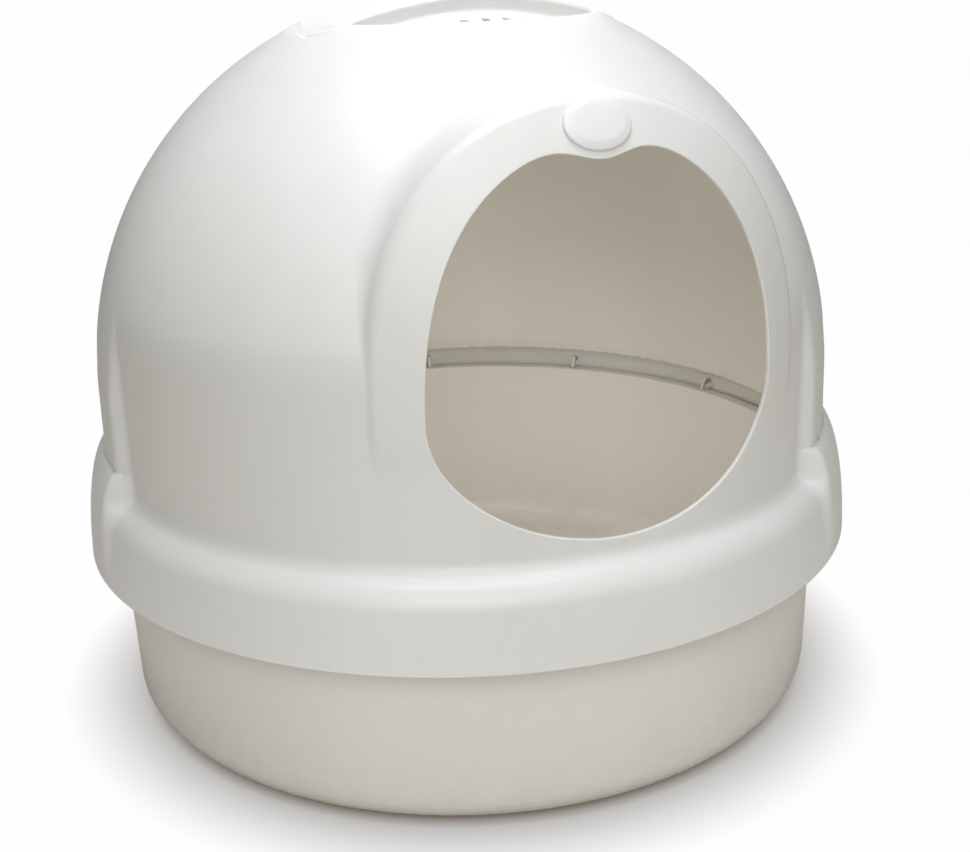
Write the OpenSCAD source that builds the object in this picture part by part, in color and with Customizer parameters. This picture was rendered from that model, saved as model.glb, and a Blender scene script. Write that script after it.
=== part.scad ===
// Round cat litter box: a deep round pan, a lift-off domed hood with an arched
// entry, a blank name plate, and a push-in charcoal filter under the hood's crown.
// Origin: centre of the base on the floor. +Z is up and the entry faces -Y.

/* [Hood] */
// Outside radius of the dome
dome_r = 262; // [218:1:320]
// Height of the upright wall, from the collar up to the dome's centre
wall_h = 59; // [49:1:71]
// Wall thickness of the hood
hood_wall = 3; // [2:0.5:4]
// How far the upright wall's top lies inside the dome
body_inset = 6; // [4:0.5:10]
// How far the upright wall leans in, from the dome's level down to the collar
body_lean = 2; // [0:0.5:6]

/* [Collar] */
// Height of the collar, from the skirt's edge up to where the wall is upright
collar_h = 61.5; // [54:0.5:74]
// How far the skirt hangs below the pan's rim
skirt_drop = 33.5; // [28:0.5:36]
// Radius of the hollow fillet between the wall and the shoulder
crease_round = 10; // [6:0.5:14]
// Radius of the shoulder
shoulder_round = 20.5; // [16:0.5:26]
// Slope of the shoulder's top, from upright
shoulder_slope = 65; // [50:1:75]
// Outward lean of the skirt below the shoulder
skirt_lean = 10; // [5:1:14]

/* [Side grips] */
// Direction of the first grip around the hood, from +X; the other is opposite
grip_turn = -21.5; // [-45:0.5:45]
// Angle that each grip covers
grip_angle = 56; // [30:1:70]
// Height of the flare at the foot of each grip
grip_flare_h = 75; // [60:1:85]

/* [Entry] */
// Full width of the entry opening
entry_w = 227; // [170:1:250]
// Height of the sill above the foot of the upright wall
sill_h = 5.5; // [3:0.5:20]
// Height of the opening above its widest line
entry_up = 150.5; // [120:0.5:156]
// Depth of the opening below its widest line
entry_down = 79.5; // [66:0.5:90]
// Depth of the dip in the middle of the top edge
entry_dip = 8; // [0:0.5:14]
// Width of that dip
entry_dip_w = 66; // [40:1:90]

/* [Facade] */
// Width of the facade that frames the opening
facade_w = 285.5; // [270:0.5:320]
// Height of the facade's top above the opening's widest line
facade_up = 177; // [165:1:190]
// How far the facade stands out past the upright wall
facade_proud = 1.5; // [0.5:0.5:6]
// Radius of the facade's curve in side view
facade_curve_r = 350; // [300:5:450]

/* [Name plate] */
// Width of the oval plate
plate_w = 43; // [30:1:50]
// Height of the oval plate
plate_h = 33; // [22:1:36]
// Thickness of the plate in front of the facade
plate_t = 3; // [2:0.5:4]
// Height of the plate's middle below the facade's top
plate_drop = 16.5; // [14:0.5:22]
// Radius of the plate's two pegs
peg_r = 2; // [1.5:0.5:2.5]
// Distance between the two pegs
peg_gap = 20; // [14:1:26]
// Gap around each peg in its hole
peg_clear = 0.1; // [0.05:0.05:0.3]

/* [Carry grip] */
// Radius of the round dish in the crown
dish_r = 101; // [96:1:115]
// Depth of the dish below the dome
dish_depth = 12; // [8:0.5:16]
// Length of the grip bar across the dish
bar_len = 226; // [215:1:250]
// Width of the grip bar
bar_w = 100; // [80:1:104]
// Radius of the bar's curve in front view
bar_curve_r = 300; // [270:5:400]
// How far the bar's crown lies below the top of the dome
bar_drop = 6; // [2:0.5:8]
// Corner radius of the bar's ends
bar_corner = 20; // [8:1:35]

/* [Vents] */
// Number of vent slots on each side of the bar
vent_count = 5; // [1:2:5]
// Distance between neighbouring slots
vent_pitch = 15; // [12:0.5:16]
// Width of a slot
vent_w = 5; // [3:0.5:6]
// Length of a slot
vent_len = 22; // [10:1:26]
// Distance from the bar's side to the slots
vent_gap = 14; // [8:1:18]

/* [Filter] */
// Inside radius of the socket under the crown
socket_r = 93; // [88:0.5:94]
// Wall of the socket
socket_wall = 3; // [2:0.5:4]
// How far the socket hangs below the dish
socket_h = 21; // [19:0.5:30]
// Gap between the filter tray and the socket
tray_clear = 0.4; // [0.2:0.1:1]
// Thickness of the tray's grille and flange
tray_t = 3; // [2:0.5:4]
// Height of the tray's rim above its grille
tray_rim = 15; // [10:1:17]
// Wall of the tray's rim
tray_wall = 2.5; // [2:0.5:4]
// How far the flange stands out past the socket
flange_over = 2; // [1:0.5:4]
// Thickness of the filter pad
pad_t = 10; // [6:1:12]
// Gap around the filter pad
pad_clear = 1; // [0.5:0.5:3]
// Width of a grille slot
grille_w = 8; // [5:0.5:10]
// Distance between neighbouring grille slots
grille_pitch = 14; // [12:0.5:16]
// Height of the two pull tabs under the tray
tab_h = 12; // [8:1:16]

/* [Pan] */
// Height of the pan
pan_h = 150; // [125:1:180]
// Wall thickness of the pan
pan_wall = 3; // [2:0.5:4]
// Radius of the base's outer edge round
base_round = 21; // [14:1:26]
// How far the pan's wall leans in, from the rim down to the base
pan_taper = 5.5; // [3:0.5:20]
// Gap between the pan's rim and the inside of the hood's skirt
rim_gap = 3; // [1.5:0.5:5]
// Overhang of the rim outside the pan's wall
rim_reach = 8; // [6:0.5:12]
// Depth of the rim's turned-down edge
rim_drop = 13; // [8:1:18]
// Thickness of the rim
rim_t = 2.5; // [2:0.5:3]
// Width of the foot ring that the base stands on
foot_w = 28; // [15:1:40]
// Height of the raised middle of the base
foot_h = 1.5; // [1:0.5:3]

/* [Seat] */
// Gap between the hood's seat ribs and the pan's rim
seat_clear = 0.3; // [0.2:0.1:1]
// Number of seat ribs
seat_count = 12; // [6:1:24]
// Thickness of a seat rib
seat_t = 3; // [2:0.5:4]
// Height of a seat rib
seat_h = 9; // [6:0.5:11]

/* [Hidden] */
$fn = 240;

PEARL = "#dedddb";
PLATE = "#e4e3e1";
TRAY = "#cfccc6";
CHARCOAL = "#2f3133";

big = 2 * dome_r;
slit = 1;
rim_z = pan_h;
skirt_z = rim_z - skirt_drop;
crease_z = skirt_z + collar_h;
dome_z = crease_z + wall_h;
top_z = dome_z + dome_r;
body_r = dome_r - body_inset;
crease_r = body_r - body_lean;
body_slope = body_lean / (spring_at(0) - crease_z);

// End of the crease fillet and centres of the two collar rounds
crease_c = [crease_r + crease_round, crease_z];
crease_end = crease_c - crease_round * dir(shoulder_slope);
shoulder_c = crease_end - shoulder_round * dir(shoulder_slope);
shoulder_end = shoulder_c + shoulder_round * dir(skirt_lean);
skirt_r = shoulder_end.x + (shoulder_end.y - skirt_z) * tan(skirt_lean);

entry_mid_z = crease_z + sill_h + entry_down;
facade_r = body_r + facade_proud;
facade_curve_z = entry_mid_z + 12;
facade_top = entry_mid_z + facade_up;

plate_z = facade_top - plate_drop;
plate_tilt = asin((plate_z - facade_curve_z) / facade_curve_r);
plate_y = -facade_at(plate_z);

bar_axis_z = top_z - bar_drop - bar_curve_r;
floor_r = dome_r - dish_depth;
socket_z = dome_z + sqrt(pow(floor_r - hood_wall, 2) - pow(socket_r + socket_wall, 2)) - socket_h;
relief_z = socket_z - 10;
vent_y = bar_w / 2 + vent_gap;

tray_r = socket_r - tray_clear;
tray_in_r = tray_r - tray_wall;
flange_r = socket_r + socket_wall + flange_over;
tray_top = socket_z - 0.5;

lip_r = shoulder_end.x - hood_wall - rim_gap;
pan_top_r = lip_r - rim_reach;
base_r = pan_top_r - pan_taper - base_round;
seat_z = rim_z + seat_clear;

function dir(a) = [cos(a), sin(a)];

// An arc of points about c, from angle a0 to a1
function arc(c, r, a0, a1, n) = [for (i = [0:n]) c + r * dir(a0 + (a1 - a0) * i / n)];

// The dome's outline w inside its surface, and the angle and height at which it meets the wall
function dome_arc(w, a0, a1, n) = arc([0, dome_z], dome_r - w, a0, a1, n);
function spring_angle(w) = acos((body_r - w) / (dome_r - w));
function spring_at(w) = dome_z + (dome_r - w) * sin(spring_angle(w));

// The facade's outside radius at height z
function facade_at(z) = facade_r - facade_curve_r
    + sqrt(pow(facade_curve_r, 2) - pow(max(0, z - facade_curve_z), 2));

// Half of a rounded arch: a superellipse of half width a and height b
function arch_x(t, a, p) = a * sign(cos(t)) * pow(abs(cos(t)), 2 / p);
function arch_z(t, b, p) = b * pow(abs(sin(t)), 2 / p);

// The dip that the top edge of the opening makes under the name plate
function dip_at(x) = entry_dip * exp(-pow(2 * x / entry_dip_w, 2));

entry_outline = concat(
    [for (t = [0:5:180]) let (x = arch_x(t, entry_w / 2, 2.27))
        [x, entry_mid_z + arch_z(t, entry_up, 2.27) - dip_at(x)]],
    [for (t = [185:5:355]) [arch_x(t, entry_w / 2, 2), entry_mid_z - arch_z(t, entry_down, 2)]]);

// Everything inside the hood's skin, drawn w inside its outer surface
module hood_form(w) {
    difference() {
        union() {
            dome_and_wall(w);
            collar(w);
            grips(w);
            facade(w);
        }
        finger_dish(w);
        bar_block(w, big);
    }
    grip_bar(w);
}

// The dome, and the upright wall that carries it outside the grips
module dome_and_wall(w) {
    low = crease_z - 8;
    rotate_extrude() polygon(concat(
        dome_arc(w, 90, spring_angle(w), 26),
        [[crease_r - w - 8 * body_slope, low], [0, low]]));
}

module collar(w) {
    low = skirt_z - (w > 0 ? slit : 0);
    rotate_extrude() polygon(concat(
        [[0, low], [0, crease_z]],
        arc(crease_c, crease_round + w, 180, 180 + shoulder_slope, 6),
        arc(shoulder_c, shoulder_round - w, shoulder_slope, skirt_lean, 6),
        [[skirt_r - w + (skirt_z - low) * tan(skirt_lean), low]]));
}

// Two opposite sectors, where the hood is left full for the hands: the dome runs on down
// to its widest level, then the grip is upright, then it flares out to the skirt's edge
module grips(w) {
    low = skirt_z - (w > 0 ? slit : 0);
    half = grip_angle / 2 - asin(w / dome_r);
    flare = skirt_r - dome_r;
    intersection() {
        rotate_extrude() polygon(concat(
            [[0, low], [0, spring_at(w)]],
            dome_arc(w, spring_angle(w), 0, 5),
            [[dome_r - w, skirt_z + grip_flare_h]],
            [for (a = [80:-10:0]) [dome_r - w + flare * cos(a), skirt_z + grip_flare_h * sin(a)]],
            [[skirt_r - w, low]]));
        for (turn = [0, 180]) rotate([0, 0, grip_turn + turn])
            linear_extrude(top_z) polygon([[0, 0], big * dir(-half), big * dir(half)]);
    }
}

// The barrel-shaped block that stands out around the entry
module facade(w) {
    foot = crease_z + 30;
    intersection() {
        rotate_extrude() polygon(concat(
            [[0, foot], [body_r - 4 - w, foot], [facade_r - 0.5 - w, facade_curve_z - 35]],
            [for (i = [0:10]) let (z = facade_curve_z + (facade_top - facade_curve_z) * i / 10)
                [facade_at(z) - w, z]],
            [[0, facade_top]]));
        rotate([90, 0, 0]) linear_extrude(big)
            polygon(concat(
                [for (t = [0:5:180]) [arch_x(t, facade_w / 2 - w, 2.19),
                    entry_mid_z + 10 + arch_z(t, facade_up - 10 - w, 2.19)]],
                [[w - facade_w / 2, foot], [facade_w / 2 - w, foot]]));
    }
}

module finger_dish(w) {
    difference() {
        translate([0, 0, relief_z]) cylinder(r = dish_r + w, h = big);
        translate([0, 0, dome_z]) sphere(r = floor_r - w);
    }
}

// The upright block that holds the grip bar
module bar_block(w, h) {
    len = bar_len + 2 * w;
    wide = bar_w - 2 * w;
    translate([0, 0, relief_z]) {
        for (x = [-1, 1], y = [-1, 1])
            translate([x * (len / 2 - bar_corner), y * (wide / 2 - bar_corner), 0])
                cylinder(r = bar_corner, h = h);
        translate([-len / 2 + bar_corner, -wide / 2, 0]) cube([len - 2 * bar_corner, wide, h]);
        translate([-len / 2, -wide / 2 + bar_corner, 0]) cube([len, wide - 2 * bar_corner, h]);
    }
}

module grip_bar(w) {
    intersection() {
        bar_block(w, big);
        translate([0, 0, bar_axis_z]) rotate([90, 0, 0])
            cylinder(r = bar_curve_r - w, h = big, center = true);
    }
}

module vents() {
    for (i = [0:vent_count - 1], side = [-1, 1])
        translate([(i - (vent_count - 1) / 2) * vent_pitch, side * (vent_y + vent_len / 2), relief_z]) {
            for (end = [-1, 1]) translate([0, end * (vent_len - vent_w) / 2, 0])
                cylinder(r = vent_w / 2, h = big);
            translate([-vent_w / 2, -(vent_len - vent_w) / 2, 0]) cube([vent_w, vent_len - vent_w, big]);
        }
}

// The ring under the crown that the filter tray pushes into
module filter_socket() {
    intersection() {
        translate([0, 0, socket_z]) difference() {
            cylinder(r = socket_r + socket_wall, h = big);
            translate([0, 0, -slit]) cylinder(r = socket_r, h = big + 2 * slit);
        }
        hood_form(hood_wall / 2);
    }
}

// Ribs inside the shoulder that rest on the pan's rim
module seat_ribs() {
    intersection() {
        for (i = [0:seat_count - 1]) rotate([0, 0, (i + 0.5) * 360 / seat_count])
            translate([pan_top_r - pan_wall, -seat_t / 2, seat_z]) cube([big, seat_t, seat_h]);
        hood_form(hood_wall / 2);
    }
}

module entry_cut() {
    translate([0, -dome_r / 2, 0]) rotate([90, 0, 0]) linear_extrude(big) polygon(entry_outline);
}

// Puts its children on the facade, where the name plate is
module at_plate() {
    translate([0, plate_y, plate_z]) rotate([90 - plate_tilt, 0, 0]) children();
}

module pegs(r, depth) {
    for (x = [-1, 1]) translate([x * peg_gap / 2, 0, -depth]) cylinder(r = r, h = depth + slit);
}

module hood() {
    color(PEARL) difference() {
        union() {
            difference() {
                hood_form(0);
                hood_form(hood_wall);
            }
            filter_socket();
            seat_ribs();
        }
        entry_cut();
        vents();
        at_plate() pegs(peg_r + peg_clear, 4 * hood_wall);
    }
}

module name_plate() {
    color(PLATE) {
        difference() {
            at_plate() translate([0, 0, -plate_t]) linear_extrude(2 * plate_t)
                polygon([for (t = [0:7.5:352.5]) [plate_w / 2 * cos(t), plate_h / 2 * sin(t)]]);
            facade(0);
        }
        at_plate() pegs(peg_r, 2 * hood_wall);
    }
}

module filter_tray() {
    reach = tray_in_r - 14;
    rows = floor(0.995 * reach / (0.9 * grille_pitch));
    color(TRAY) difference() {
        union() {
            translate([0, 0, tray_top - tray_t]) cylinder(r = flange_r, h = tray_t);
            translate([0, 0, tray_top - slit]) cylinder(r = tray_r, h = tray_rim + slit);
            for (x = [-1, 1]) translate([x * (tray_in_r - 8) - 1.5, -12, tray_top - tray_t - tab_h])
                cube([3, 24, tab_h + slit]);
        }
        translate([0, 0, tray_top]) cylinder(r = tray_in_r, h = big);
        for (i = [-rows:rows]) let (y = i * grille_pitch,
                len = sqrt(pow(reach, 2) - pow(y * 0.9, 2)))
            translate([-len, y - grille_w / 2, tray_top - tray_t - slit])
                cube([2 * len, grille_w, tray_t + 2 * slit]);
    }
}

module filter_pad() {
    color(CHARCOAL) translate([0, 0, tray_top]) cylinder(r = tray_in_r - pad_clear, h = pad_t);
}

module litter_pan() {
    foot_r = base_r - foot_w;
    color(PEARL) rotate_extrude() polygon(concat(
        [[0, foot_h], [foot_r - foot_h, foot_h], [foot_r, 0], [base_r, 0]],
        arc([base_r, base_round], base_round, -80, 0, 6),
        [[pan_top_r, rim_z - rim_drop - 4], [pan_top_r, rim_z - rim_t], [lip_r - rim_t, rim_z - rim_t],
            [lip_r - rim_t, rim_z - rim_drop], [lip_r, rim_z - rim_drop]],
        arc([lip_r - rim_t, rim_z - rim_t], rim_t, 0, 90, 4),
        [[pan_top_r - pan_wall, rim_z], [pan_top_r - pan_wall, rim_z - rim_drop - 4]],
        arc([base_r, base_round], base_round - pan_wall, 0, -90, 6),
        [[0, pan_wall]]));
}

litter_pan();
hood();
name_plate();
filter_tray();
filter_pad();
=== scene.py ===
"""A round cat litter box: a deep pan, a lift-off domed hood with an arched entry,
a blank name plate and a push-in charcoal filter, modelled around the packed part."""
import math

import bmesh
import bpy
import numpy as np
from bpy.props import FloatProperty, FloatVectorProperty, IntProperty, PointerProperty
from mathutils import Matrix, Vector


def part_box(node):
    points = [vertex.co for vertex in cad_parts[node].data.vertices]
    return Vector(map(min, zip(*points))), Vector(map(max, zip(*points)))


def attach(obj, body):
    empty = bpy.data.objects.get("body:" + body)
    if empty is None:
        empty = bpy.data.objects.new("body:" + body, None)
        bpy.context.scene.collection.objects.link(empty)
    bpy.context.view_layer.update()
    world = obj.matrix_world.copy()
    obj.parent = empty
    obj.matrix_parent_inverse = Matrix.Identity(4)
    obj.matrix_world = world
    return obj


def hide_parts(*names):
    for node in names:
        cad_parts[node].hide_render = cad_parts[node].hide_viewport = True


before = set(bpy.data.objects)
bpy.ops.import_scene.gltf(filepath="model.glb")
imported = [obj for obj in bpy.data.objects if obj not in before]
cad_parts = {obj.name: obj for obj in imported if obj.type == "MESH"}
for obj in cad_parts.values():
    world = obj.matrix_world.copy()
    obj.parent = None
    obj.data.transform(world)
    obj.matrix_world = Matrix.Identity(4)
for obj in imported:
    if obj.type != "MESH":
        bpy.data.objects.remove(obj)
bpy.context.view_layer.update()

bl_info = {
    "name": "Hooded Litter Box",
    "version": (1, 0, 0),
    "blender": (4, 5, 0),
    "location": "3D View > Sidebar > Litter Box",
    "description": "Builds a round cat litter box with a lift-off domed hood",
    "category": "Add Mesh",
}

MM = 0.001
RIM_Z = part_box("litter_pan")[1].z
SKIRT_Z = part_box("hood")[0].z

ENTRY_POWER, FACADE_POWER = 2.27, 2.19     # superellipse exponents of the two arches
ARCH_FOOT = 10 * MM                        # from the entry's widest line to the facade's arch
SINK_FOOT, SINK_KNEE, SINK = 90 * MM, 5 * MM, 7 * MM     # facade drawing in below its curve
TRAY_FIT = 0.4 * MM                        # between the tray's rim and the socket
TRAY_BORDER = 14 * MM                      # from the tray's rim in to the grille's slots

CAMERA_AZIMUTH, CAMERA_ELEVATION, CAMERA_ROLL = -21.5, 15.33, -2.19
CAMERA_LENS, CAMERA_SHIFT = 52.32, (0.0253, -0.0794)
LAMP_COLOUR = (0.94, 0.975, 1.0)
LAMPS = (  # name, azimuth, elevation, distance and size in metres, watts
    ("front", -22, 28, 2.6, 1.6, 33),
    ("right", 20, 45, 2.2, 1.2, 5.4),
    ("top", -20, 86, 1.9, 1.2, 35),
    ("rear", 158, 34, 2.4, 1.4, 9),
)


# ------------------------------------------------------------------ settings

def length(name, description, millimetres):
    """A length that the user can change, given in millimetres and kept in metres."""
    return FloatProperty(name=name, description=description, default=millimetres * MM,
                         min=0.0, unit="LENGTH", precision=4)


def angle(name, description, degrees):
    return FloatProperty(name=name, description=description, default=math.radians(degrees),
                         subtype="ANGLE")


def colour(name, description, rgb):
    return FloatVectorProperty(name=name, description=description, default=rgb,
                               size=3, min=0.0, max=1.0, subtype="COLOR")


class LitterBoxHoodSizes(bpy.types.PropertyGroup):
    """Dome, upright wall, collar and the two side grips"""
    dome_r: length("Dome radius", "Outside radius of the dome", 262)
    wall: length("Wall", "Wall thickness of the hood", 3)
    wall_h: length("Wall height", "From the collar's crease up to the dome's centre", 59)
    inset: length("Wall inset", "How far the wall's top lies inside the dome", 6)
    lean: length("Wall lean", "How far the wall leans in on its way down", 2)
    spring_blend: length("Spring blend", "Softness of the line between dome and wall", 3.5)
    collar_h: length("Collar height", "From the skirt's edge up to the crease", 61.5)
    crease_round: length("Crease radius", "Hollow fillet between wall and shoulder", 10)
    shoulder_round: length("Shoulder radius", "Radius of the shoulder", 20.5)
    shoulder_slope: angle("Shoulder slope", "Slope of the shoulder's top, from upright", 65)
    skirt_lean: angle("Skirt lean", "Outward lean of the skirt", 10)
    edge_round: length("Edge radius", "Rounding of every cut edge", 1.1)
    grip_turn: angle("Grip turn", "Direction of the first grip, from +X", -21.5)
    grip_angle: angle("Grip angle", "Angle that each grip covers", 56)
    grip_flare_h: length("Grip flare", "Height of the flare at the foot of a grip", 75)
    grip_edge: length("Grip edge", "Width of the step at each side of a grip", 20)


class LitterBoxEntrySizes(bpy.types.PropertyGroup):
    """The arched entry and the facade around it"""
    width: length("Entry width", "Full width of the opening", 227)
    sill_h: length("Sill", "Height of the sill above the crease", 5.5)
    up: length("Height up", "Height of the opening above its widest line", 150.5)
    down: length("Depth down", "Depth of the opening below its widest line", 79.5)
    dip: length("Dip", "Depth of the dip in the top edge", 9.5)
    dip_w: length("Dip width", "Width of that dip", 45)
    facade_w: length("Facade width", "Width of the facade", 285.5)
    facade_up: length("Facade height", "Facade's top above the widest line", 177)
    facade_proud: length("Facade stand-out", "How far the facade stands out past the wall", 1.5)
    facade_curve_r: length("Facade curve", "Radius of the facade in side view", 350)
    facade_lip: length("Facade lip", "Rounding of the facade's outer edge", 5)
    facade_fillet: length("Facade fillet", "Hollow fillet between facade and dome", 9)


class LitterBoxCrownSizes(bpy.types.PropertyGroup):
    """Dish, grip bar and vents in the crown"""
    dish_r: length("Dish radius", "Radius of the round dish", 101)
    dish_depth: length("Dish depth", "Depth of the dish below the dome", 12)
    bar_len: length("Bar length", "Length of the grip bar", 226)
    bar_w: length("Bar width", "Width of the grip bar", 100)
    bar_curve_r: length("Bar curve", "Radius of the bar's curve in front view", 300)
    bar_drop: length("Bar drop", "Bar's crown below the top of the dome", 6)
    bar_corner: length("Bar corner", "Corner radius of the bar's ends", 20)
    edge_round: length("Crown edges", "Rounding of the dish's and bar's edges", 2.5)
    vents: IntProperty(name="Vents", description="Vent slots on each side of the bar",
                       default=5, min=1, max=7)
    vent_pitch: length("Vent pitch", "Distance between neighbouring slots", 15)
    vent_w: length("Vent width", "Width of a slot", 5)
    vent_len: length("Vent length", "Length of a slot", 22)
    vent_gap: length("Vent gap", "From the bar's side to the slots", 14)


class LitterBoxPlateSizes(bpy.types.PropertyGroup):
    """The blank oval name plate"""
    width: length("Plate width", "Width of the oval plate", 43)
    height: length("Plate height", "Height of the oval plate", 33)
    thick: length("Plate thickness", "Thickness of the plate", 3)
    drop: length("Plate drop", "Plate's middle below the facade's top", 16.5)
    edge: length("Plate edge", "Rounding of the plate's rim", 1.3)
    peg_r: length("Peg radius", "Radius of the two pegs", 2)
    peg_gap: length("Peg gap", "Distance between the two pegs", 20)


class LitterBoxFilterSizes(bpy.types.PropertyGroup):
    """Socket, tray and pad of the charcoal filter"""
    socket_r: length("Socket radius", "Inside radius of the socket", 93)
    socket_wall: length("Socket wall", "Wall of the socket", 3)
    socket_h: length("Socket height", "How far the socket hangs below the dish", 21)
    tray_t: length("Grille thickness", "Thickness of grille and flange", 3)
    tray_wall: length("Tray wall", "Wall of the tray's rim", 2.5)
    grille_w: length("Slot width", "Width of a grille slot", 8)
    grille_pitch: length("Slot pitch", "Distance between grille slots", 14)
    tab_w: length("Tab width", "Width of a pull tab", 24)


class LitterBoxPanSizes(bpy.types.PropertyGroup):
    """The pan"""
    wall: length("Pan wall", "Wall thickness of the pan", 3)
    base_round: length("Base radius", "Radius of the base's outer edge", 21)
    taper: length("Taper", "How far the wall leans in down to the base", 5.5)
    rim_gap: length("Rim gap", "Gap between the rim and the hood's skirt", 3)
    rim_reach: length("Rim reach", "Overhang of the rim", 8)
    rim_drop: length("Rim drop", "Depth of the rim's turned-down edge", 13)
    rim_t: length("Rim thickness", "Thickness of the rim", 2.5)
    foot_w: length("Foot width", "Width of the foot ring", 28)
    foot_h: length("Foot height", "Height of the raised middle of the base", 1.5)
    seat_clear: length("Seat gap", "Gap between seat ribs and rim", 0.3)
    seat_count: IntProperty(name="Seat ribs", description="Number of seat ribs", default=12,
                            min=3, max=36)
    seat_t: length("Rib thickness", "Thickness of a seat rib", 3)
    seat_h: length("Rib height", "Height of a seat rib", 9)


class LitterBoxColours(bpy.types.PropertyGroup):
    """Colours of the mouldings and the filter"""
    hood: colour("Hood", "Pearl white of the hood", (0.74, 0.735, 0.715))
    hood_dark: colour("Hood flow marks", "Slightly darker pearl", (0.70, 0.69, 0.665))
    # The pan's pearl and flow-mark colours are partly its own tone and partly painted light: they
    # are made lighter than the hood's to stand in for light that falls short on the pan under the
    # hood's overhang.
    pan: colour("Pan", "Pearl white of the pan", (0.80, 0.775, 0.745))
    pan_dark: colour("Pan flow marks", "Slightly darker pearl", (0.76, 0.735, 0.705))
    plate: colour("Name plate", "Pearl white of the plate", (0.76, 0.755, 0.745))
    tray: colour("Filter tray", "Plain off-white", (0.62, 0.60, 0.55))
    felt: colour("Felt", "Charcoal felt", (0.018, 0.019, 0.021))
    felt_light: colour("Felt fibres", "Lighter fibres in the felt", (0.055, 0.057, 0.06))


GROUPS = {
    "litter_box_hood": LitterBoxHoodSizes,
    "litter_box_entry": LitterBoxEntrySizes,
    "litter_box_crown": LitterBoxCrownSizes,
    "litter_box_plate": LitterBoxPlateSizes,
    "litter_box_filter": LitterBoxFilterSizes,
    "litter_box_pan": LitterBoxPanSizes,
    "litter_box_colours": LitterBoxColours,
}


# ------------------------------------------------------- fields and surfaces

def soft_max(a, b, radius):
    """The larger of two distances, with the edge between them rounded to a radius."""
    u, v = np.maximum(radius + a, 0), np.maximum(radius + b, 0)
    return np.minimum(-radius, np.maximum(a, b)) + np.hypot(u, v)


def soft_min(a, b, radius):
    return -soft_max(-a, -b, radius)


def blend_max(a, b, width):
    """The larger of two distances, eased into each other over a width; for shallow edges."""
    share = np.maximum(width - np.abs(a - b), 0) / np.maximum(width, 1e-7)
    return np.maximum(a, b) + share * share * width / 4


def ease(t):
    """From 0 to 1 with flat ends."""
    t = np.clip(t, 0, 1)
    return t * t * t * (t * (6 * t - 15) + 10)


def arc(radius, offset):
    """How far a circle reaches to the side at an offset from its centre."""
    return np.sqrt(np.maximum(radius ** 2 - offset ** 2, 0))


def circle(turns):
    """The angles of that many even steps round a circle."""
    return np.arange(turns) * 2 * math.pi / turns


def off_profile(radius, r, z):
    """Distance outside a turned profile, whose radius at height z is radius(z)."""
    nudge = 0.5 * MM
    lean = (radius(z + nudge) - radius(z - nudge)) / (2 * nudge)
    return (r - radius(z)) / np.sqrt(1 + lean ** 2)


def slope(field, p, nudge=1e-4):
    """Gradient of a field at the points p."""
    parts = []
    for axis in range(3):
        step = np.zeros(3)
        step[axis] = nudge
        parts.append((field(p + step) - field(p - step)) / (2 * nudge))
    return np.stack(parts, -1)


def unit(v):
    return v / np.maximum(np.linalg.norm(v, axis=-1, keepdims=True), 1e-12)


def newton(field, p, g, least=1e-6):
    """One step of the points p along g, towards the field's zero level."""
    return p - g * (field(p) / np.maximum((g * g).sum(-1), least))[:, None]


def settle(field, p, rounds=3):
    """Moves the points p onto the field's zero level."""
    for _ in range(rounds):
        p = newton(field, p, slope(field, p), 1e-9)
    return p


def settle_along(field, p, way, rounds=5):
    """Moves the points p along a direction onto the field's zero level."""
    way = np.broadcast_to(way, p.shape)
    for _ in range(rounds):
        g = (slope(field, p) * way).sum(-1)
        g = np.where(np.abs(g) < 0.15, 0.15 * np.sign(g + 1e-12), g)
        p = p - way * np.clip(field(p) / g, -0.004, 0.004)[:, None]
    return p


def arch_distance(x, z, half_w, height, power):
    """Distance outside a superellipse of that half width and height, in its own plane."""
    u, v = np.abs(x) / half_w + 1e-6, np.abs(z) / height + 1e-6
    s = u ** power + v ** power
    q = s ** (1 / power)
    gx = s ** (1 / power - 1) * u ** (power - 1) / half_w
    gz = s ** (1 / power - 1) * v ** (power - 1) / height
    return (q - 1) / np.hypot(gx, gz)


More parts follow.
